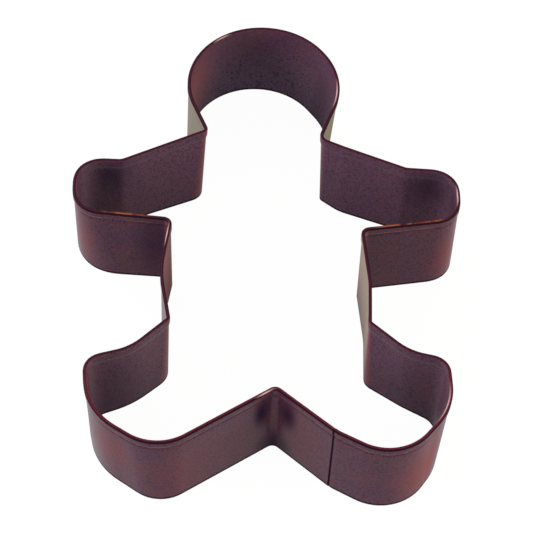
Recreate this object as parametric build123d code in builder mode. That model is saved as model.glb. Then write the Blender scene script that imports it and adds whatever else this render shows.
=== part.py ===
from build123d import *
import math
import os

os.makedirs("parts", exist_ok=True)

# A cookie cutter bent from one strip of coated steel into the traditional gingerbread figure.
# The figure lies in X and Y with its head towards +Y. The cutting edge stands on Z = 0 and the
# folded rim is on top. The origin is the centre of the footprint, on the cutting edge's plane.
# All lengths are in millimetres.

# Overall sizes, measured over the folded rim
figure_length = 127.4
arm_span = 95.0
strip_height = 25.4

# Widths of the figure between matching bends, at the middle of the strip's thickness
head_width = 37.6
neck_width = 27.7
wrist_width = 72.0
body_width = 47.0
knee_width = 66.0
foot_span = 85.2
sole_width = 55.2

# The strip: thickness with its coating, and the folded rim along its top edge
steel_thickness = 0.4
hem_height = 2.3
hem_fold_gap = 0.08
joggle_height = 1.2

# The lap seam on the right leg, and the spot welds that hold it
lap_length = 6.5
lap_gap = 0.1
lap_slot = 0.15
tongue_clearance = 0.4
knuckle_run = 1.6
weld_diameter = 2.6
weld_pitch = 7.0
weld_count = 3
weld_depth_share = 0.45

# Radii of the bends, at the middle of the strip's thickness
sharp_bend = 1.2
right_neck_bend = 2.4
crotch_bend = 1.8
armpit_bend = 1.9
body_bend = 30.0
wrist_bend = 4.0
palm_bend = 7.0
finger_bend = 7.4
knee_bend = 14.0
toe_bend = 5.2
ankle_bend = 16.0
heel_bend = 12.0
seam_bend = 8.0

# Of each straight run, the share that the bends at its ends may take between them
bend_room_share = 0.99

# The head is a round arc, rounded corner by corner from its right side; the shares say how far out
# each corner lies, because the head is a little flat at its upper right and full at its upper
# left. Head and neck lean a hair to the left, and each neck fold stands outside the head's circle.
head_corner_shares = (1.0, 0.975, 1.03, 0.99)
head_lean = -0.4
neck_lean = -0.8
right_neck_flare = 3.0
left_neck_flare = 1.8

# The section of the strip: half thicknesses from its middle, and the levels of the hem
half_steel = steel_thickness / 2
half_fold = hem_fold_gap / 2
rim_half = steel_thickness + half_fold
hem_bottom = strip_height - hem_height
joggle_bottom = hem_bottom - joggle_height
crown_level = strip_height - rim_half

# Half sizes of the figure, at the middle of the strip's thickness
half_length = figure_length / 2 - rim_half
half_span = arm_span / 2 - rim_half
arm_reach = half_span * 2
head_radius = head_width / 2

# The tongue steps in behind the outer layer, and stops short of the joggle
lap_step = steel_thickness + lap_gap
tongue_height = joggle_bottom - tongue_clearance

# The bends from the right foot to the right wrist. Each row is a width of the figure, a share of
# half that width, a share of the half length, and the bend's radius.
right_bend_shares = [
    (sole_width, 1.098, -1.054, heel_bend),
    (foot_span, 1.002, -0.814, ankle_bend),
    (foot_span, 0.988, -0.611, toe_bend),
    (knee_width, 1.000, -0.577, knee_bend),
    (body_width, 1.028, -0.446, sharp_bend),
    (body_width, 1.043, -0.262, body_bend),
    (body_width, 0.983, -0.013, armpit_bend),
    (arm_reach, 1.000, 0.041, palm_bend),
    (arm_reach, 1.000, 0.270, finger_bend),
    (wrist_width, 0.959, 0.283, wrist_bend),
]

# The bends from the left wrist to the left foot, in the same form
left_bend_shares = [
    (wrist_width, -0.992, 0.310, wrist_bend),
    (arm_reach, -1.000, 0.318, finger_bend),
    (arm_reach, -1.000, 0.069, finger_bend),
    (body_width, -0.989, 0.028, armpit_bend),
    (body_width, -1.089, -0.215, body_bend),
    (body_width, -0.998, -0.436, sharp_bend),
    (knee_width, -0.976, -0.570, knee_bend),
    (foot_span, -1.009, -0.618, toe_bend),
    (foot_span, -0.986, -0.843, ankle_bend),
    (sole_width, -0.938, -1.016, heel_bend),
]


def placed(rows):
    return [(width / 2 * across, half_length * along, radius) for width, across, along, radius in rows]


def neck_drop(reach, flare):
    # How far below the head's centre a neck fold lies that is reach to one side of it
    return math.sqrt((head_radius + flare) ** 2 - reach**2)


def touch_angle(reach, flare):
    # Where the straight run from a neck fold meets the head's circle, above the centre's level
    return math.acos(head_radius / (head_radius + flare)) - math.atan2(neck_drop(reach, flare), reach)


def head_bends():
    centre_y = half_length - head_radius
    right_reach = neck_width / 2 + neck_lean - head_lean
    left_reach = neck_width / 2 - neck_lean + head_lean
    first_angle = touch_angle(right_reach, right_neck_flare)
    last_angle = math.pi - touch_angle(left_reach, left_neck_flare)
    corner_turn = (last_angle - first_angle) / len(head_corner_shares)
    right_y = centre_y - neck_drop(right_reach, right_neck_flare)
    bends = [(head_lean + right_reach, right_y, right_neck_bend)]
    for corner, share in enumerate(head_corner_shares):
        angle = first_angle + corner_turn * (corner + 0.5)
        reach = head_radius / math.cos(corner_turn / 2) * share
        bends.append((head_lean + reach * math.cos(angle), centre_y + reach * math.sin(angle), head_radius))
    bends.append((head_lean - left_reach, centre_y - neck_drop(left_reach, left_neck_flare), sharp_bend))
    return bends


def fitted_radii(points, radii):
    # A bend takes its setback from the runs beside it. Where the two bends on a run need more
    # than it has, as round the head or when a width is made small, both shrink in the same ratio.
    runs = [(end[0] - start[0], end[1] - start[1]) for start, end in zip(points, points[1:])]
    headings = [math.atan2(y, x) for x, y in runs]
    turns = [math.remainder(after - before, math.tau) for before, after in zip(headings, headings[1:])]
    setbacks = [0] + [radius * math.tan(abs(turn) / 2) for radius, turn in zip(radii, turns)] + [0]
    rooms = []
    for run, start, end in zip(runs, setbacks, setbacks[1:]):
        rooms.append(min(1, math.hypot(*run) * bend_room_share / (start + end)))
    return [radius * min(before, after) for radius, before, after in zip(radii, rooms, rooms[1:])]


# The fold between the legs, and the end of the outer lap on the right leg
crotch_shares = (0.035, -0.737)
seam_shares = (0.313, -0.917)
crotch = Vector(half_span * crotch_shares[0], half_length * crotch_shares[1])
seam_end = Vector(half_span * seam_shares[0], half_length * seam_shares[1])

# Along the lap the strip runs from the fold towards the right foot; inward is into the figure
lap_run = (seam_end - crotch).normalized()
inward = Vector(-lap_run.Y, lap_run.X)
outward = inward * -1
rim_start = seam_end + lap_run * lap_slot + inward * lap_step
tongue_end = seam_end - lap_run * lap_length + inward * lap_step
knuckle = rim_start + lap_run * knuckle_run

# The nuggets start inside the outer layer and end inside the tongue
weld_depth = steel_thickness * weld_depth_share
weld_length = lap_gap + weld_depth * 2
weld_middle = seam_end - lap_run * (lap_length / 2) + inward * (steel_thickness / 2 - weld_depth)
weld_origin = weld_middle + Vector(0, 0, tongue_height / 2)
weld_face = Plane(weld_origin, x_dir=lap_run, z_dir=inward)

bends = [(knuckle.X, knuckle.Y, seam_bend)]
bends += placed(right_bend_shares) + head_bends() + placed(left_bend_shares)
bends += [(crotch.X, crotch.Y, crotch_bend)]
corners = [(rim_start.X, rim_start.Y)] + [(x, y) for x, y, radius in bends] + [(seam_end.X, seam_end.Y)]
radii = fitted_radii(corners, [radius for x, y, radius in bends])

# The strip: its section with the folded rim, carried round the figure, and the plain tongue
with BuildPart() as formed_strip:
    with BuildLine() as outline:
        FilletPolyline(*corners, radius=radii)
    rim_path = outline.wire()
    with BuildSketch(Plane(rim_start, x_dir=outward, z_dir=lap_run * -1)):
        with BuildLine():
            Line((half_fold, hem_bottom), (half_fold, crown_level))
            ThreePointArc(
                (half_fold, crown_level),
                (0, crown_level + half_fold),
                (-half_fold, crown_level),
            )
            Polyline(
                (-half_fold, crown_level),
                (-half_fold, hem_bottom),
                (half_steel, joggle_bottom),
                (half_steel, 0),
                (-half_steel, 0),
                (-half_steel, joggle_bottom),
                (-rim_half, hem_bottom),
                (-rim_half, crown_level),
            )
            ThreePointArc(
                (-rim_half, crown_level),
                (0, strip_height),
                (rim_half, crown_level),
            )
            Polyline(
                (rim_half, crown_level),
                (rim_half, hem_bottom),
                (half_fold, hem_bottom),
            )
        section = make_face()
    sweep(path=rim_path)
    with BuildSketch(Plane(tongue_end, x_dir=lap_run, z_dir=(0, 0, 1))):
        with Locations(((lap_length + lap_slot) / 2, 0)):
            Rectangle(lap_length + lap_slot, steel_thickness)
    extrude(amount=tongue_height)
    with BuildSketch(weld_face):
        with GridLocations(0, weld_pitch, 1, weld_count):
            Circle(weld_diameter / 2)
    extrude(amount=weld_length, mode=Mode.SUBTRACT)

# The spot-weld nuggets, each fused into both layers of the lap
with BuildPart() as seam_welds:
    with BuildSketch(weld_face):
        with GridLocations(0, weld_pitch, 1, weld_count):
            Circle(weld_diameter / 2)
    extrude(amount=weld_length)

formed_strip.part.label = "formed_strip"
export_step(formed_strip.part, "parts/formed_strip.step")
seam_welds.part.label = "seam_welds"
export_step(seam_welds.part, "parts/seam_welds.step")

print("solids", len(formed_strip.part.solids()), "valid", formed_strip.part.is_valid)
print("volume", formed_strip.part.volume, "section x length", section.area * rim_path.length)
print("bends made smaller", sum(radius < bend[2] for radius, bend in zip(radii, bends)))
print(formed_strip.part.bounding_box())
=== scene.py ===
# %% [markdown]
# # A cookie cutter, bent from one strip of coated steel
#
# The cutter is a ribbon of thin steel on its edge, bent into a gingerbread figure. The top edge is
# folded over into a safe rim, the bottom edge is left plain to cut dough, and the two ends lap on
# the right leg. The imported model gives its size and place, and this script gives it the look
# of the real one: a dark maroon baked coating with a soft gloss, and a painted orange highlight on the
# arms' rims.

# %% The frame
import math

import bmesh
import bpy
import numpy as np
from mathutils import Matrix, Vector


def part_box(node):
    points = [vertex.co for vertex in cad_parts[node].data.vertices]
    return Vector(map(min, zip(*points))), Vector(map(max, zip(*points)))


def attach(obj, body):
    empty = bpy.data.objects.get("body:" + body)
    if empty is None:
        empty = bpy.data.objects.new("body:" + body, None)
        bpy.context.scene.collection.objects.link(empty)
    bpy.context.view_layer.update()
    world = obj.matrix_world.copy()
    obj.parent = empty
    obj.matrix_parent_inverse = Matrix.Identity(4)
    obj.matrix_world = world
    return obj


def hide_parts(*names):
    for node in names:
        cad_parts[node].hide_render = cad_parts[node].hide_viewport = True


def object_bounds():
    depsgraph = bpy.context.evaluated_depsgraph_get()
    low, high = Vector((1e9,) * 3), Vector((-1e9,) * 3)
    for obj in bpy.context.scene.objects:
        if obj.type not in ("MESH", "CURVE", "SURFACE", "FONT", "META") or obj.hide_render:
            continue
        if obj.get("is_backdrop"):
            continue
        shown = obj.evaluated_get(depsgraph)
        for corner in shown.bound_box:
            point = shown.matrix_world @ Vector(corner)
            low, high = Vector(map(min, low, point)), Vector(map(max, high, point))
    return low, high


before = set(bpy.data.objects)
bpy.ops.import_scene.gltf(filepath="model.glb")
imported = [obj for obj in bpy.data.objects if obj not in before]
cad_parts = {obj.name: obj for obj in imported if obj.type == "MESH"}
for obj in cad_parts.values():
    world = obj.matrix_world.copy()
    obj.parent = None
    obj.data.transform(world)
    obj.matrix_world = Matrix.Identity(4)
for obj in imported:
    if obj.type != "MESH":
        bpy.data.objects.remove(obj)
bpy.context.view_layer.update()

mm = 0.001
low, high = (np.array(corner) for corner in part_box("formed_strip"))
print("the cutter measures", np.round((high - low) / mm, 2), "mm")

# %% [markdown]
# ## The camera
#
# The picture was taken with a long lens from the figure's feet, looking down at a bit more than
# fifty degrees, so the verticals lean only a little. A camera can be placed by hand in the
# viewport, but here it is worked out from a few plain facts: the point it looks at, how far away
# it is, how steeply it looks down, which way it is turned and how much it is tipped.

# %% The camera
look_at = Vector((0.2, -3.4, 12.7)) * mm
distance = 0.611
elevation = math.radians(54.0)
heading = math.radians(2.7)
roll = math.radians(2.75)

camera_data = bpy.data.cameras.new("camera")
camera_data.sensor_width = 36.0
camera_data.sensor_fit = "HORIZONTAL"
camera_data.lens = 168.0
camera = bpy.data.objects.new("camera", camera_data)
bpy.context.scene.collection.objects.link(camera)
turn = Matrix.Rotation(-heading, 4, "Z") @ Matrix.Rotation(math.pi / 2 - elevation, 4, "X")
turn = turn @ Matrix.Rotation(roll, 4, "Z")
back = turn @ Vector((0, 0, 1))
camera.matrix_world = Matrix.Translation(look_at + back * distance) @ turn
bpy.context.scene.camera = camera
print("the camera stands at", [round(value, 3) for value in camera.matrix_world.translation])

# %% [markdown]
# ## Lines that bend
#
# Both the strip's section and the figure's outline are lines with rounded corners. Sheet steel
# doesn't change from straight to bent at once: a bend starts softly, is tightest in its middle and
# ends softly. One numpy function makes such a line for all corners together, and it is used for
# both. A bevelled curve object would give plain arcs only, and no measure of how tight each bend is.

# %% A line with soft bends
room_share = 0.99


def bent_line(corners, radii, ease, bend_steps, run_shares):
    """Points, headings and curvatures along a line with rounded corners, as whole arrays.

    A bend starts and ends on its straight runs, at radius x tan(half the turn) from the corner,
    or less where the two bends on a run would need more than the run has.
    At the share t of a bend the line has turned by t + ease (3t^2 - 2t^3 - t) of the whole turn,
    so that an ease of 0 is a plain arc. The points are the running sum of the heading's direction,
    scaled to end where the bend ends. Each run gets points at run_shares of its length.
    """
    legs = np.diff(corners, axis=0)
    lengths = np.linalg.norm(legs, axis=1)
    unit = legs / lengths[:, None]
    headings = np.arctan2(legs[:, 1], legs[:, 0])
    turns = (np.diff(headings) + np.pi) % (2 * np.pi) - np.pi
    setbacks = radii * np.tan(np.abs(turns) / 2)
    needed = np.pad(setbacks, (1, 0)) + np.pad(setbacks, (0, 1))
    room = np.minimum(1, lengths * room_share / needed)
    setbacks = setbacks * np.minimum(room[:-1], room[1:])
    starts = corners[1:-1] - setbacks[:, None] * unit[:-1]
    ends = corners[1:-1] + setbacks[:, None] * unit[1:]

    def turned(t):
        return t + np.asarray(ease)[:, None] * (3 * t**2 - 2 * t**3 - t)

    t = np.linspace(0, 1, bend_steps + 1)[None, :]
    middle = (t[:, 1:] + t[:, :-1]) / 2
    angle = headings[:-1, None] + turns[:, None] * turned(middle)
    steps = np.stack([np.cos(angle), np.sin(angle)], axis=2)
    path = np.concatenate([np.zeros_like(steps[:, :1]), np.cumsum(steps, axis=1)], axis=1)
    scale = np.linalg.norm(ends - starts, axis=1) / np.linalg.norm(path[:, -1], axis=1)
    bend_points = starts[:, None] + path * scale[:, None, None]
    bend_heading = headings[:-1, None] + turns[:, None] * turned(t)
    bend_curve = turns[:, None] * np.gradient(turned(t), 1 / bend_steps, axis=1)
    bend_curve = bend_curve / (scale[:, None] * bend_steps)

    run_from = np.concatenate([corners[:1], ends])
    run_to = np.concatenate([starts, corners[-1:]])
    share = np.array(run_shares)[None, :, None]
    run_points = run_from[:, None] + (run_to - run_from)[:, None] * share
    run_heading = np.repeat(headings[:, None], len(run_shares), axis=1)

    blocks = np.concatenate([run_points[:-1], bend_points], axis=1).reshape(-1, 2)
    points = np.concatenate([corners[:1], blocks, run_points[-1], corners[-1:]])
    blocks = np.concatenate([run_heading[:-1], bend_heading], axis=1).ravel()
    heading_line = np.concatenate([headings[:1], blocks, run_heading[-1], headings[-1:]])
    blocks = np.concatenate([run_heading[:-1] * 0, bend_curve], axis=1).ravel()
    curvature = np.concatenate([[0], blocks, run_heading[-1] * 0, [0]])
    return points, heading_line, curvature


print("two bends share at most", room_share, "of the run between them")

# %% [markdown]
# ## The section of the strip
#
# Cut across, the real strip is a hair-thin bar whose top is folded over outwards and pressed flat.
# A press also steps the bar inwards just below the fold, so that the folded rim sits over it. Its
# corners are written here in millimetres, and rounded with the function above.

# %% The section's corners
steel = 0.4
half_steel = steel / 2
half_fold = 0.04
rim_half = steel + half_fold
strip_height = (high[2] - low[2]) / mm
hem_height = 2.3
joggle_height = 1.2
fold_inset = 0.8
hem_bottom = strip_height - hem_height
joggle_bottom = hem_bottom - joggle_height
fold_top = hem_bottom + fold_inset

# Each row: outward from the middle of the steel, height, and the corner's radius
section_rows = [
    (-half_steel, 0, 0.1),
    (half_steel, 0, 0.1),
    (half_steel, joggle_bottom, 3.0),
    (-half_fold, hem_bottom, 0.3),
    (-half_fold, fold_top, 0.03),
    (half_fold, fold_top, 0.03),
    (half_fold, hem_bottom, 0.08),
    (rim_half, hem_bottom, 0.12),
    (rim_half, strip_height, 0.42),
    (-rim_half, strip_height, 0.42),
    (-rim_half, hem_bottom, 2.5),
    (-half_steel, joggle_bottom, 2.5),
]
print("the fold is", hem_height, "mm high, and the step below it", joggle_height, "mm")


# %% The section, rounded
def rounded_section(rows, corner_steps):
    """The points round a closed section. Its line starts and ends in the middle of the last side."""
    rows = np.array(rows)
    closing = (rows[-1:, :2] + rows[:1, :2]) / 2
    corners = np.concatenate([closing, rows[:, :2], closing])
    points, _, _ = bent_line(corners, rows[:, 2], np.zeros(len(rows)), corner_steps, (0.03, 0.97))
    return points[:-1]


section = rounded_section(section_rows, 4)
print("the section has", len(section_rows), "corners, and", len(section), "points when rounded")

# %% [markdown]
# ## The outline of the figure
#
# The strip is bent by hand over a form, so left and right differ a little, and the cutting edge
# doesn't lie exactly under the rim: thin walls lean in or out, here by up to a millimetre and a
# half. The bends are written as shares of half the figure's width and length, so they follow the
# frame. Each row also says how far the cutting edge's bend lies from the rim's, and that edge's
# own radius.

# %% The bends
half_span = (high[0] - low[0]) / mm / 2 - rim_half
half_length = (high[1] - low[1]) / mm / 2 - rim_half

# Each row: across share, along share, rim radius, edge's radius, edge's shift across, along
right_side = [
    (0.644, -1.054, 12.0, 12.0, 0.2, -0.5),
    (0.907, -0.814, 16.0, 16.0, -1.9, -0.7),
    (0.895, -0.611, 5.2, 5.5, -1.3, -1.5),
    (0.701, -0.577, 14.0, 35.0, 0.0, 0.9),
    (0.513, -0.446, 1.2, 3.5, 0.0, -1.2),
    (0.521, -0.262, 30.0, 30.0, 0.0, 0.0),
    (0.491, -0.013, 1.9, 2.6, 0.0, 0.0),
    (1.000, 0.041, 7.0, 8.0, 0.0, 0.2),
    (1.000, 0.270, 7.4, 7.4, 0.0, 0.0),
    (0.734, 0.283, 4.0, 4.0, 0.0, 0.0),
    (0.410, 0.387, 12.0, 12.0, 0.0, -0.7),
]
left_side = [
    (-0.759, 0.310, 4.0, 4.0, 0.0, 0.0),
    (-1.000, 0.318, 7.4, 4.5, 0.0, 0.0),
    (-1.000, 0.069, 7.4, 12.0, 0.2, -0.3),
    (-0.494, 0.028, 1.9, 2.6, 0.5, 0.6),
    (-0.544, -0.215, 30.0, 30.0, 0.0, 0.0),
    (-0.498, -0.436, 1.2, 6.0, 0.0, -0.3),
    (-0.684, -0.570, 14.0, 25.0, 0.0, 0.5),
    (-0.914, -0.618, 5.2, 5.5, 0.4, -0.6),
    (-0.892, -0.843, 16.0, 16.0, 1.8, 0.4),
    (-0.550, -1.016, 12.0, 9.0, 0.6, 0.4),
]
crotch_row = (0.035, -0.737, 1.8, 2.4, 0.1, 0.3)
print("the sides have", len(right_side), "and", len(left_side), "bends")

# %% [markdown]
# The head is a round arc, a little flat at its upper right. It is set out as a few corners round a
# circle, between the two sharp folds at the neck, because the same function can then bend it. Its
# right wall leans in towards the floor and its far wall leans out, so the cutting edge gets a
# circle of its own, which is smaller and lies further back.

# %% The head and the neck
head_radius = 37.6 / 2
half_neck = 27.7 / 2
head_lean = -0.4
neck_lean = -0.8
right_flare = 3.0
left_flare = 1.8
head_corner_shares = np.array([1.0, 0.975, 1.03, 0.99])
head_centre = np.array([head_lean, half_length - head_radius])
right_reach = half_neck + neck_lean - head_lean
left_reach = half_neck - neck_lean + head_lean


def neck_drop(reach, flare):
    """How far below the head's centre a fold lies that is reach to one side of it."""
    return math.sqrt((head_radius + flare) ** 2 - reach**2)


def touch_angle(reach, flare):
    """Where the straight run from such a fold meets the head's circle, above the centre's level."""
    return math.acos(head_radius / (head_radius + flare)) - math.atan2(neck_drop(reach, flare), reach)


first = touch_angle(right_reach, right_flare)
last = math.pi - touch_angle(left_reach, left_flare)
step = (last - first) / len(head_corner_shares)
angle = first + step * (np.arange(len(head_corner_shares)) + 0.5)
towards = np.stack([np.cos(angle), np.sin(angle)], axis=1)
towards = towards * head_corner_shares[:, None] / math.cos(step / 2)
right_fold = head_centre + (right_reach, -neck_drop(right_reach, right_flare))
left_fold = head_centre + (-left_reach, -neck_drop(left_reach, left_flare))
print("the neck folds lie at", right_fold.round(1), "and", left_fold.round(1))

# %% The head's rim and its cutting edge
edge_head_radius = 17.3
edge_head_centre = head_centre + (-1.3, 2.5)
rim_right_fold = right_fold + (0.3, 0.0)
edge_right_fold = right_fold + (1.5, 0.2)
edge_left_fold = left_fold + (-0.6, -1.5)
right_fold_radii = (2.4, 1.5)
left_fold_radii = (1.2, 4.0)
rim_head = np.concatenate([[rim_right_fold], head_centre + towards * head_radius, [left_fold]])
edge_circle = edge_head_centre + towards * edge_head_radius
edge_head = np.concatenate([[edge_right_fold], edge_circle, [edge_left_fold]])
print("the head has", len(rim_head), "corners")

# %% [markdown]
# ## The lap seam
#
# The strip ends on the right leg. One end is cut to a plain tongue without the fold, and tucks in
# behind the other. The outer end stops with a clean cut, which leans a little because the strip
# wasn't cut quite square, and along which painted shade gives a thin dark line.

# %% The seam's places
seam_end = np.array([half_span * 0.313, half_length * -0.917])
crotch = np.array([half_span * crotch_row[0], half_length * crotch_row[1]])
lap_run = (seam_end - crotch) / np.linalg.norm(seam_end - crotch)
inward = np.array([-lap_run[1], lap_run[0]])
lap_gap = 0.06
lap_slot = 0.05
lap_step = 0.1
lap_length = 6.5
knuckle_run = 0.9
knuckle_radius = 8.0
rim_start = seam_end + lap_run * lap_slot + inward * lap_step
knuckle = rim_start + lap_run * knuckle_run
seam_lean = lap_run * 0.38
print("the seam is at", seam_end.round(1), "mm")

# %% [markdown]
# ## From bends to a ribbon
#
# The rim's line and the cutting edge's line have the same bends in the same order, so their points
# pair up. Every point of the section is then carried round: its place is between the two lines, by
# its height, plus its distance outwards. All stations and all points are worked out at once.

# %% The corners of the two lines
table = np.array(right_side + left_side + [crotch_row])
side_corners = table[:, :2] * (half_span, half_length)
count = len(right_side)
rim_corners = np.concatenate(
    [[rim_start, knuckle], side_corners[:count], rim_head, side_corners[count:], [seam_end]]
)
rim_corners[[0, 1, -1]] += seam_lean

# Each row: rim radius, edge's radius, edge's shift across, along
knuckle_rows = np.array([[knuckle_radius, knuckle_radius, -seam_lean[0], -seam_lean[1]]])
head_rows = np.zeros((len(rim_head), 4))
head_rows[:, :2] = head_radius, edge_head_radius
head_rows[:, 2:] = edge_head - rim_head
head_rows[0, :2] = right_fold_radii
head_rows[-1, :2] = left_fold_radii
details = np.concatenate([knuckle_rows, table[:count, 2:], head_rows, table[count:, 2:]])
edge_corners = rim_corners.copy()
edge_corners[1:-1] += details[:, 2:]
edge_corners[[0, -1]] -= seam_lean
print("each line has", len(details), "bends")


# %% The two lines
def outwards(headings):
    """The headings turned a quarter to the right, as unit vectors, one row for each."""
    return np.stack([np.sin(headings), -np.cos(headings)], axis=1)


plain_arc_radius = 9
soft_ease = 0.5
bend_steps = 16
run_shares = (0.02, 0.2, 0.5, 0.8, 0.98)
ease = np.where(details[:, 0] > plain_arc_radius, 0.0, soft_ease)
rim_line, rim_heading, bend = bent_line(rim_corners, details[:, 0], ease, bend_steps, run_shares)
edge_line, edge_heading, _ = bent_line(edge_corners, details[:, 1], ease, bend_steps, run_shares)
along = np.concatenate([[0], np.cumsum(np.linalg.norm(np.diff(rim_line, axis=0), axis=1))])
lean = ((edge_line - rim_line) * outwards(rim_heading)).sum(axis=1)
print("the strip is", round(along[-1]), "mm long, in", len(along), "stations")
print("from the rim's points to its own, the cutting edge lies", lean.min().round(1), "to",
      lean.max().round(1), "mm further out")


# %% A profile carried along the lines
def carried(profile):
    """All surface points as an array, stations x profile x 3, in millimetres.

    With s = height / strip height, a point is (1 - s) edge line + s rim line + outward x its
    distance. Outward is the heading turned a quarter to the right, and is blended the same way.
    """
    share = (profile[:, 1] / strip_height)[None, :, None]
    line = edge_line[:, None] * (1 - share) + rim_line[:, None] * share
    outward = outwards(edge_heading)[:, None] * (1 - share) + outwards(rim_heading)[:, None] * share
    flat = line + outward * profile[None, :, :1]
    height = np.broadcast_to(profile[:, 1], flat.shape[:2])
    return np.concatenate([flat, height[:, :, None]], axis=2)


ribbon = carried(section)
ribbon_points = ribbon.reshape(-1, 3)
print("the ribbon spans", ribbon_points.min(axis=0).round(2), ribbon_points.max(axis=0).round(2))

# %% [markdown]
# The tongue behind the lap is the same steel without the fold. It is straight, so its section is
# simply carried along a line, set in by the steel's thickness and the gap.

# %% The tongue behind the lap
tongue_clearance = 0.4
tongue_corner = 0.05
tongue_overrun = 0.5
tongue_height = joggle_bottom - tongue_clearance
tongue_rows = [
    (-half_steel, 0, tongue_corner),
    (half_steel, 0, tongue_corner),
    (half_steel, tongue_height, tongue_corner),
    (-half_steel, tongue_height, tongue_corner),
]
tongue_section = rounded_section(tongue_rows, 3)
tongue_start = seam_end - lap_run * lap_length + inward * (steel + lap_gap)
tongue_shares = np.linspace(0, 1, 12)[:, None]
tongue_line = tongue_start + tongue_shares * lap_run * (lap_length + tongue_overrun)
flat = tongue_line[:, None] - inward * tongue_section[None, :, :1]
height = np.broadcast_to(tongue_section[:, 1], flat.shape[:2])
tongue_points = np.concatenate([flat, height[:, :, None]], axis=2).reshape(-1, 3)
print("the tongue is", lap_length, "mm long and", round(tongue_height, 1), "mm high")

# %% [markdown]
# ## Where the finish changes
#
# The look of the coating isn't the same all round. Above the feet the tight vertical folds get a
# painted red highlight, the front rims of both arms a painted orange highlight, and the rim at the
# feet a brighter painted red highlight. The outer walls at the neck and the inner walls at the waist
# run away from the eye and get a pale painted reflection. Painting this by hand would be lost when
# the shape changes, so each of these is a value for every station, worked out from its place, which the
# material reads as an attribute.


# %% The finish at each station
def ramp(value, start, end):
    """0 below start, 1 above end, and straight in between."""
    return np.clip((value - start) / (end - start), 0, 1)


across, upwards = rim_line.T
# Masks for the painted highlights on the folds and the rims, and for the pale painted reflection on the
# neck and the waist
above_feet = ramp(upwards, -44, -40)
fold = ramp(np.abs(bend), 0.3, 0.7) * above_feet
left_arm = ramp(across, -40.5, -39) * ramp(across, -28, -30)
right_arm = ramp(across, 25, 27) * ramp(across, 45, 43)
highlit = (left_arm + right_arm) * ramp(np.abs(upwards - 3), 7, 5)
front_highlight = ramp(upwards, -38, -46)
neck = ramp(upwards, 24, 27) * ramp(upwards, 52, 46)
waist = ramp(np.abs(upwards + 13.2), 13.4, 12.6) * ramp(np.abs(across), 30, 28)
pale = np.where(section[None, :, 0] > 0, neck[:, None], waist[:, None])
tint = waist * (ramp(-across, 5, 10) - ramp(across, 5, 10))
zones = {"fold": fold, "highlit": highlit, "front_highlight": front_highlight, "pale": pale, "tint": tint}
print("the rim is worn along", round((np.gradient(along) * highlit).sum()), "mm")

# %% [markdown]
# ## The strip as one piece
#
# A ring of points at each station, joined to the next ring by quads and capped at both ends, is a
# closed tube. The ribbon and its tongue are one piece of steel, so they share one mesh.


# %% A closed tube of points as a mesh
def tube_faces(stations, around, first=0):
    """Quads between neighbouring rings, and one cap at each end. Quad (i, j) joins points j and
    j + 1 of ring i to those of ring i + 1, and j wraps round."""
    index = np.arange(stations * around).reshape(stations, around) + first
    ahead = np.roll(index, -1, axis=1)
    quads = np.stack([index[:-1], index[1:], ahead[1:], ahead[:-1]], axis=2).reshape(-1, 4)
    return quads.tolist(), [index[0].tolist(), index[-1][::-1].tolist()]


def link_piece(name, points, quads, caps, values):
    """Puts points in millimetres and faces into a mesh, smooth but for its caps, with its values
    as point attributes, and links it to the scene."""
    mesh = bpy.data.meshes.new(name)
    mesh.from_pydata((points * mm).tolist(), [], quads + caps)
    smooth = [True] * len(quads) + [False] * len(caps)
    mesh.polygons.foreach_set("use_smooth", smooth)
    for key, value in values.items():
        layer = mesh.attributes.new(key, "FLOAT", "POINT")
        layer.data.foreach_set("value", np.ravel(value).astype(np.float32))
    mesh.update()
    piece = bpy.data.objects.new(name, mesh)
    bpy.context.scene.collection.objects.link(piece)
    return piece


def per_point(values, tongue_values):
    """Values per station, or per station and point of its ring, and the tongue's, for all points."""
    rings = np.broadcast_to(values.reshape(len(values), -1), ribbon.shape[:2])
    return np.concatenate([rings.ravel(), np.broadcast_to(tongue_values, len(tongue_points))])


quads, caps = tube_faces(len(along), len(section))
tongue_quads, tongue_caps = tube_faces(len(tongue_line), len(tongue_section), len(ribbon_points))
print("the strip has", len(quads), "quads, and its tongue", len(tongue_quads))

# %% The strip
section_out = np.tile(section[:, 0], (len(along), 1))
tongue_out = np.tile(tongue_section[:, 0], len(tongue_line))
values = {"along": per_point(along, along[-1] / 2) * mm, "outward": per_point(section_out, tongue_out)}
values.update({name: per_point(zone, 0.0) for name, zone in zones.items()})
points = np.concatenate([ribbon_points, tongue_points])
strip = link_piece("strip", points, quads + tongue_quads, caps + tongue_caps, values)
check = bmesh.new()
check.from_mesh(strip.data)
volume = round(check.calc_volume(signed=True) / mm**3)
print("the strip encloses", volume, "cubic mm, with", len(check.faces), "faces")
check.free()

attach(strip, "root")
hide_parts("formed_strip")

# %% [markdown]
# ## Shader sums
#
# A finish is a sum of many small effects. Wiring each Math node by hand hides the sum, so a small
# class lets sockets be added and multiplied like numbers, and one method adds any other node.


# %% Sockets that can be added
class Value:
    """A socket of a material's nodes. Each sum, product or comparison adds a Math node."""

    def __init__(self, paint, socket):
        self.paint = paint
        self.socket = socket

    def math(self, operation, first, second):
        return self.paint.node("Math", {"operation": operation}, {0: first, 1: second})

    def __add__(self, other):
        return self.math("ADD", self, other)

    def __mul__(self, other):
        return self.math("MULTIPLY", self, other)

    def __sub__(self, other):
        return self.math("SUBTRACT", self, other)

    def __rsub__(self, other):
        return self.math("SUBTRACT", other, self)

    def __neg__(self):
        return 0.0 - self

    __radd__ = __add__
    __rmul__ = __mul__

    def larger(self, other):
        return self.math("MAXIMUM", self, other)

    def smaller(self, other):
        return self.math("MINIMUM", self, other)


print("sockets can be added, multiplied and compared")


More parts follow.
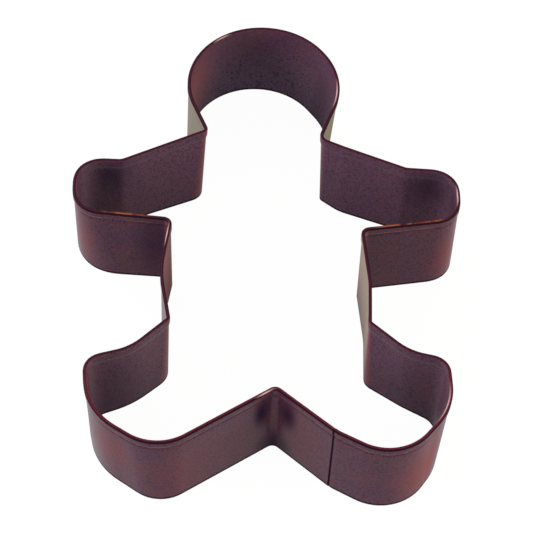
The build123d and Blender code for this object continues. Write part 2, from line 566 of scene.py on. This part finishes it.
# %% The nodes of a material
class Paint:
    """The nodes of one material or of the world, and the few ways in which they are added."""

    def __init__(self, owner):
        owner.use_nodes = True
        self.tree = owner.node_tree
        self.tree.nodes.clear()

    def node(self, kind, settings=None, sockets=None, out=0):
        """Adds a node. Its settings come first, then the values or links of its sockets."""
        node = self.tree.nodes.new("ShaderNode" + kind)
        for key, value in (settings or {}).items():
            setattr(node, key, value)
        for key, value in (sockets or {}).items():
            if isinstance(value, Value):
                self.tree.links.new(value.socket, node.inputs[key])
            else:
                node.inputs[key].default_value = value
        return Value(self, node.outputs[out]) if len(node.outputs) else None

    def blend(self, first, second, factor):
        """Colour first where the factor is 0, second where it is 1."""
        return self.node("Mix", {"data_type": "RGBA"}, {0: factor, 6: first, 7: second}, out=2)

    def between(self, value, start, end):
        """0 below start, 1 above end, and a smooth rise from one to the other."""
        settings = {"interpolation_type": "SMOOTHSTEP"}
        return self.node("MapRange", settings, {"Value": value, "From Min": start, "From Max": end})

    def blob(self, place, centre, reach):
        """1 at the centre, falling to 0 at a distance of reach, both given per axis in mm."""
        offset = self.node("VectorMath", {"operation": "SUBTRACT"}, {0: place, 1: np.array(centre) * mm})
        share = self.node("VectorMath", {"operation": "DIVIDE"}, {0: offset, 1: np.array(reach) * mm})
        return self.between(self.node("VectorMath", {"operation": "LENGTH"}, {0: share}, out="Value"), 1, 0)

    def attribute(self, name):
        return self.node("Attribute", {"attribute_name": name}, out="Fac")

    def noise(self, place, scale, detail=2.0, roughness=0.5):
        sockets = {"Vector": place, "Scale": scale, "Detail": detail, "Roughness": roughness}
        return self.node("TexNoise", None, sockets)

    def coat(self, sockets):
        return self.node("BsdfPrincipled", None, sockets)

    def mixed(self, first, second, factor):
        """Shader first where the factor is 0, second where it is 1."""
        return self.node("MixShader", None, {0: factor, 1: first, 2: second})

    def surface(self, shader):
        self.node("OutputMaterial", None, {"Surface": shader})


print("a material's nodes can be added in one line each")

# %% [markdown]
# ## The baked coating
#
# The steel has a thin maroon-brown coating, baked on. Up close it has a fine speckle and an uneven
# tone, and its gloss is soft, with less of it inside the figure. In the hands and at the fold
# between the legs, shade is painted in as darker, bluer patches, and at the feet, at the arms' ends
# and on the left of the head, light is painted in as redder patches. A picture could hold all this,
# but it would need a flat layout of the strip. So it is summed from noises, from the attributes
# above, and from soft round patches in space.

# %% The coating's colours
plum = (0.060, 0.021, 0.056, 1)
brown = (0.088, 0.027, 0.042, 1)
moss = (0.066, 0.035, 0.043, 1)
dark = (0.012, 0.004, 0.010, 1)
# Painted shade, and painted light, which also gives the painted highlight on the tight folds
shade_blue = (0.024, 0.011, 0.032, 1)
lit_red = (0.236, 0.055, 0.052, 1)
# Painted reflection on the inner walls
lavender_sheen = (0.200, 0.140, 0.210, 1)

# On the rim: its own maroon, then painted highlights in red, orange, beige and pink
maroon = (0.048, 0.010, 0.019, 1)
highlight_red = (0.110, 0.014, 0.028, 1)
highlight_orange = (0.290, 0.085, 0.035, 1)
highlight_beige = (0.450, 0.300, 0.190, 1)
glint_pink = (0.600, 0.380, 0.380, 1)

# Painted reflection where a wall runs away from the eye
haze = (0.160, 0.080, 0.120, 1)
olive = (0.215, 0.212, 0.170, 1)
rose = (0.200, 0.115, 0.120, 1)
sand = (0.300, 0.265, 0.215, 1)
print("the ground goes from plum", plum[:3], "to brown", brown[:3])


# %% Where a point lies
head_starts = 28.0
head_is_full = 36.0
mottle_scale = 110.0
speckle_scale = 2000.0


class Place:
    """Where a point lies on the strip, and the two noises that more than one step needs."""

    def __init__(self, paint):
        self.coords = paint.node("TexCoord", out="Object")
        self.height = paint.node("SeparateXYZ", None, {0: self.coords}, out="Z")
        self.lengthwise = paint.node("SeparateXYZ", None, {0: self.coords}, out="Y")
        self.depth = (strip_height * mm - self.height) * (1 / mm)
        self.outward = paint.attribute("outward")
        self.inside = paint.between(self.outward, 0.0, -0.1)
        self.in_head = paint.between(self.lengthwise, head_starts * mm, head_is_full * mm)
        self.mottle = paint.noise(self.coords, mottle_scale, 4.0, 0.65)
        self.speckle = paint.noise(self.coords, speckle_scale, 2.0, 0.6)


print("the head's finish comes in from", head_starts, "to", head_is_full, "mm")


# %% The speckled ground
fleck_scale = 1400.0


def speckled(paint, at):
    """Plum and brown in an uneven mix, with mossy flecks and dark specks, and a painted lavender reflection
    inside.
    """
    tone = paint.blend(plum, brown, paint.between(at.mottle + (at.speckle - 0.5) * 2.0, 0.38, 0.62))
    head_foot = paint.between(at.lengthwise, 50 * mm, 60 * mm) * paint.between(at.height, 24 * mm, 2 * mm)
    # Painted reflection on the inner walls in lavender: most low down at the far end of the head, least in
    # the rest of the head
    tone = paint.blend(tone, lavender_sheen, at.inside * (head_foot * 0.65 - at.in_head * 0.1 + 0.25))
    flecks = paint.between(paint.noise(at.coords, fleck_scale, 1.0), 0.54, 0.66)
    tone = paint.blend(tone, moss, flecks * 0.8)
    specks = paint.between(at.speckle, 0.50, 0.36)
    return paint.blend(tone, dark, specks * (0.6 - at.inside * (at.in_head * 0.15 + 0.2)))


print("the speckle has about", round(speckle_scale * mm), "grains in a millimetre")


# %% Patches of painted shade and painted light
# Each row: the place, how far it reaches to each side and up and down, all in millimetres, and
# its strength. The shade rows are painted shade, darker and bluer, and the light rows painted light,
# redder.
shade_patches = [
    ((-38.0, 19.5, 20.0), (8.0, 8.0, 12.0), 0.8),
    ((41.0, 17.3, 18.0), (11.0, 11.0, 11.0), 0.8),
    ((16.5, 46.0, 10.0), (8.0, 14.0, 20.0), 0.35),
    ((-1.8, -48.3, 17.0), (3.6, 3.6, 10.0), 1.2),
    ((5.2, -48.9, 17.0), (4.4, 4.4, 10.0), 1.2),
    ((1.7, -47.5, 2.0), (8.0, 8.0, 12.0), 0.9),
    ((-27.0, 1.9, 14.0), (8.0, 8.0, 24.0), 0.7),
]
light_patches = [
    ((-36.0, -56.0, 14.0), (11.0, 11.0, 14.0), 0.4),
    ((36.0, -57.0, 9.0), (13.0, 12.0, 22.0), 1.0),
    ((46.0, 3.0, 8.0), (8.0, 8.0, 18.0), 0.6),
    ((-46.5, 6.0, 10.0), (7.0, 7.0, 20.0), 0.5),
    ((-20.0, -58.0, 8.0), (14.0, 14.0, 16.0), 0.3),
    ((1.7, -50.5, 10.0), (22.0, 13.0, 22.0), 0.35),
]
inner_light_patches = [((-16.5, 50.0, 8.0), (13.0, 14.0, 26.0), 1.3)]


def patches(paint, at, rows):
    """The sum of the rows' soft patches, each by its strength."""
    return sum(paint.blob(at.coords, centre, reach) * strength for centre, reach, strength in rows)


redder = len(light_patches + inner_light_patches)
print("the coating has", len(shade_patches), "bluer patches and", redder, "redder ones")

# %% [markdown]
# The rim catches the eye, so it gets lines of its own: a maroon crown with a painted red highlight
# at the feet and a painted orange highlight on the arms, a line of painted shade below it on the
# outer side, a broken painted highlight where the fold ends, and a few thin painted glints. The
# cutting edge and the strip's two ends get painted shade as well.


# %% Lines along the strip
dark_line_depth = 0.58
dark_line_fade = 0.24


def shade_lines(paint, at):
    """Painted shade: 1 below the crown on the outer side, along the cutting edge and at the strip's ends.
    """
    faded = dark_line_depth + dark_line_fade
    below = paint.between(at.depth, faded, dark_line_depth) * paint.between(at.outward, 0.14, 0.27)
    foot = paint.between(at.height, 1.0 * mm, 0.5 * mm)
    from_start = paint.attribute("along")
    to_end = along[-1] * mm - from_start
    ends = paint.between(from_start, 0.30 * mm, 0.12 * mm) + paint.between(to_end, 0.34 * mm, 0.16 * mm)
    return below.larger(foot).larger(ends)


def crown_line(paint, at):
    """1 along the very top of the rim, but for its outer side."""
    return paint.between(at.depth, 0.24, 0.12) * paint.between(at.outward, 0.25, 0.13)


# The crown is maroon, with a painted red highlight on the rims at the feet and a painted orange highlight,
# in broken pieces, on the arms' front rims
def crown_colour(paint, at):
    highlight_breaks = paint.between(paint.noise(at.coords, 420.0, 3.0), 0.34, 0.62)
    plain = paint.blend(maroon, highlight_red, paint.attribute("front_highlight"))
    return paint.blend(plain, highlight_orange, paint.attribute("highlit") * highlight_breaks)


def hem_highlight(paint, at):
    """The share of a painted beige highlight on the outer side, where the fold ends, in broken pieces."""
    low_on_fold = paint.between(at.height, (hem_bottom + 0.45) * mm, (hem_bottom + 0.15) * mm)
    broken = paint.between(paint.noise(at.coords, 330.0, 3.0), 0.46, 0.62)
    return paint.between(at.outward, 0.28, 0.38) * low_on_fold * (broken * 0.2 + 0.08)


print("the dark line reaches", dark_line_depth, "mm below the crown, and fades out below that")


# %% Glints on the crown
# Painted highlights. Each row: the place and the reach in millimetres, and the side of the strip,
# 1 for outwards
glints = [
    ((18.5, 41.5), 6.0, -1),
    ((-10.5, 59.0), 3.4, -1),
    ((-23.4, -3.0), 4.5, 1),
    ((47.0, 9.5), 4.0, -1),
    ((42.8, -52.0), 8.0, -1),
    ((-0.8, -48.4), 3.2, 1),
]


def glinting(paint, at):
    """1 where a thin painted highlight runs along one side of the crown."""
    shines = []
    for (x, y), reach, side in glints:
        flank = paint.between(at.outward * side, 0.02, 0.2)
        shines.append(paint.blob(at.coords, (x, y, strip_height), (reach, reach, 1.0)) * flank)
    return sum(shines) * paint.between(at.depth, 0.32, 0.2)


print("the crown has", len(glints), "glints")

# %% [markdown]
# Gloss is what makes steel look like steel, and here it is soft and uneven. Two coats with the same
# colour, a glossy one and a dull one, are mixed, and the dull one wins inside the figure, in the
# patches and along the lines. Over both lies a pale painted reflection, only where a wall is seen
# at a slant.


# %% The shares of the dull coat and of the painted reflection
pale_sheen = 0.95
faint_sheen = 0.2


def dull_share(at, shade_share, light_share, lines):
    """More than half inside the figure, and more in the patches and on the lines."""
    inner = at.inside * (at.in_head * 0.25 + 0.55)
    return inner.larger(shade_share * 0.9).larger(light_share * 0.7).larger(lines * 0.9)


def sheen_share(paint, lines):
    """Painted reflection, strong at a slant on the neck and the waist, faint elsewhere, none on the lines.
    """
    slant = paint.node("LayerWeight", None, {"Blend": 0.5}, out="Facing")
    pale_walls = paint.attribute("pale") * paint.between(slant, 0.55, 0.75) * pale_sheen
    all_walls = paint.between(slant, 0.86, 0.97) * faint_sheen
    return (pale_walls + all_walls).smaller(1.0 - lines)


def sheen_colour(paint):
    """Painted reflection: haze, olive on the neck, and rose and sand on the waist's left and right."""
    side = paint.attribute("tint")
    sheen = paint.blend(paint.blend(haze, olive, paint.attribute("pale")), rose, side)
    return paint.blend(sheen, sand, -side)


print("the veil hides up to", pale_sheen, "of a pale wall, and", faint_sheen, "of the others")


# %% The coated steel
def coated_steel():
    """The coating's tone in layers, on a glossy and a dull coat, with a painted reflection over both."""
    material = bpy.data.materials.new("coated_steel")
    paint = Paint(material)
    at = Place(paint)
    shade_share = patches(paint, at, shade_patches)
    light_share = patches(paint, at, light_patches) + patches(paint, at, inner_light_patches) * at.inside
    shaded = shade_lines(paint, at)
    crown = crown_line(paint, at)

    # Painted light and painted shade in patches, a painted highlight on the tight folds above the feet,
    # painted shade along the lines, a painted highlight where the fold ends, the crown with its painted
    # highlights, and painted glints
    tone = paint.blend(speckled(paint, at), lit_red, light_share * 0.6)
    tone = paint.blend(tone, shade_blue, shade_share * 0.8)
    tone = paint.blend(tone, lit_red, paint.attribute("fold") * 0.35)
    tone = paint.blend(tone, dark, shaded * 0.9)
    tone = paint.blend(tone, highlight_beige, hem_highlight(paint, at))
    tone = paint.blend(tone, crown_colour(paint, at), crown)
    tone = paint.blend(tone, glint_pink, glinting(paint, at))

    roughness = 0.26 + at.mottle * 0.06 + at.speckle * 0.06
    grain = paint.noise(at.coords, 1300.0, 2.0, 0.6)
    normal = paint.node("Bump", None, {"Strength": 0.25, "Distance": 0.00004, "Height": grain})
    both = {"Base Color": tone, "Normal": normal}
    glossy = paint.coat(both | {"Roughness": roughness, "IOR": 1.45, "Specular IOR Level": 0.12})
    dull = paint.coat(both | {"Roughness": roughness + 0.2, "IOR": 1.3, "Specular IOR Level": 0.02})
    sheen = paint.coat({"Base Color": sheen_colour(paint), "Roughness": 1.0, "Specular IOR Level": 0.0})
    lines = shaded.larger(crown)
    coats = paint.mixed(glossy, dull, dull_share(at, shade_share, light_share, lines))
    paint.surface(paint.mixed(coats, sheen, sheen_share(paint, lines)))
    return material


strip.data.materials.append(coated_steel())
print("the coating is on the strip")

# %% [markdown]
# ## The spot welds
#
# Three spots of fused steel join the two layers in the lap. Almost nothing of them shows, only
# dull grey metal in the narrow gap, so their solids stay, with a material of their own.

# %% The weld steel
bare_steel = (0.13, 0.12, 0.12, 1)
weld_scale = (0.05, 0.035, 0.03, 1)


def weld_steel():
    """Bare steel with patches of dark scale, which also make it a little rough."""
    material = bpy.data.materials.new("weld_steel")
    paint = Paint(material)
    coords = paint.node("TexCoord", out="Object")
    scale = paint.noise(coords, 900.0, 3.0)
    tone = paint.blend(bare_steel, weld_scale, paint.between(scale, 0.4, 0.7))
    normal = paint.node("Bump", None, {"Strength": 0.4, "Distance": 0.00005, "Height": scale})
    steel_look = {"Base Color": tone, "Roughness": 0.45 + scale * 0.2, "Metallic": 0.9, "Normal": normal}
    paint.surface(paint.coat(steel_look))
    return material


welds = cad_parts["seam_welds"]
welds.data.materials.clear()
welds.data.materials.append(weld_steel())
print("the welds have", len(welds.data.polygons), "faces")

# %% [markdown]
# ## Floor, backdrop and light
#
# The photograph has a pure white ground. The floor is pale, and where a ray comes straight from the
# camera or off a glossy surface it is mostly plain white, so that the coating reflects white and a
# faint soft shadow stays. The light is soft: a plain sky all round, a wide lamp on each side that
# brightens the curved ends of the feet and hands, and a weaker one behind on the left.

# %% The floor
white = (1, 1, 1, 1)
floor_grey = (0.7, 0.7, 0.7, 1)
white_level = 1.04
white_share = 0.93
floor_reach = 3.0


def seen_directly(paint):
    """1 for a ray from the camera or off a glossy or clear surface, 0 for light that spreads."""
    seen = paint.node("LightPath", out="Is Camera Ray")
    for kind in ("Is Glossy Ray", "Is Transmission Ray"):
        seen = seen.larger(paint.node("LightPath", out=kind))
    return seen


floor_material = bpy.data.materials.new("floor")
paint = Paint(floor_material)
matt = paint.node("BsdfDiffuse", None, {"Color": floor_grey})
plain = paint.node("Emission", None, {"Color": white, "Strength": white_level})
paint.surface(paint.mixed(matt, plain, seen_directly(paint) * white_share))

floor_mesh = bpy.data.meshes.new("floor")
floor_corners = [(x * floor_reach, y * floor_reach, 0) for x, y in ((-1, -1), (1, -1), (1, 1), (-1, 1))]
floor_mesh.from_pydata(floor_corners, [], [(0, 1, 2, 3)])
floor = bpy.data.objects.new("floor", floor_mesh)
bpy.context.scene.collection.objects.link(floor)
floor_mesh.materials.append(floor_material)
floor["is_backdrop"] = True
print("the floor is", 2 * floor_reach, "m wide")

# %% The sky
sky_level = 0.6
world = bpy.data.worlds.new("studio")
bpy.context.scene.world = world
paint = Paint(world)
level = seen_directly(paint) * (1.0 - sky_level) + sky_level
sky = paint.node("Background", None, {"Color": white, "Strength": level})
paint.node("OutputWorld", None, {"Surface": sky})
print("the sky lights the cutter at", sky_level, "of the white that is seen")


# %% The lamps
def wide_lamp(name, place, power, size, colour):
    """A wide square lamp that looks at the cutter from the place given, in metres."""
    data = bpy.data.lights.new(name, "AREA")
    data.energy = power
    data.size = size
    data.color = colour
    lamp = bpy.data.objects.new(name, data)
    lamp.location = place
    lamp.rotation_euler = (look_at - Vector(place)).to_track_quat("-Z", "Y").to_euler()
    bpy.context.scene.collection.objects.link(lamp)


wide_lamp("left_lamp", (-0.9, -0.35, 0.40), 7.0, 0.5, (1.0, 0.80, 0.82))
wide_lamp("right_lamp", (0.9, -0.25, 0.35), 7.0, 0.5, (1.0, 0.82, 0.66))
wide_lamp("back_lamp", (-0.75, 0.55, 0.40), 4.0, 0.35, (1.0, 1.0, 1.0))
bpy.context.scene.view_settings.view_transform = "Standard"
print("three lamps stand round the cutter")

# %% The sizes, and the end
visual_box = [list(corner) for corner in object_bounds()]
visual_size = np.subtract(visual_box[1], visual_box[0]) / mm
print("with its finish the cutter measures", visual_size.round(2), "mm")
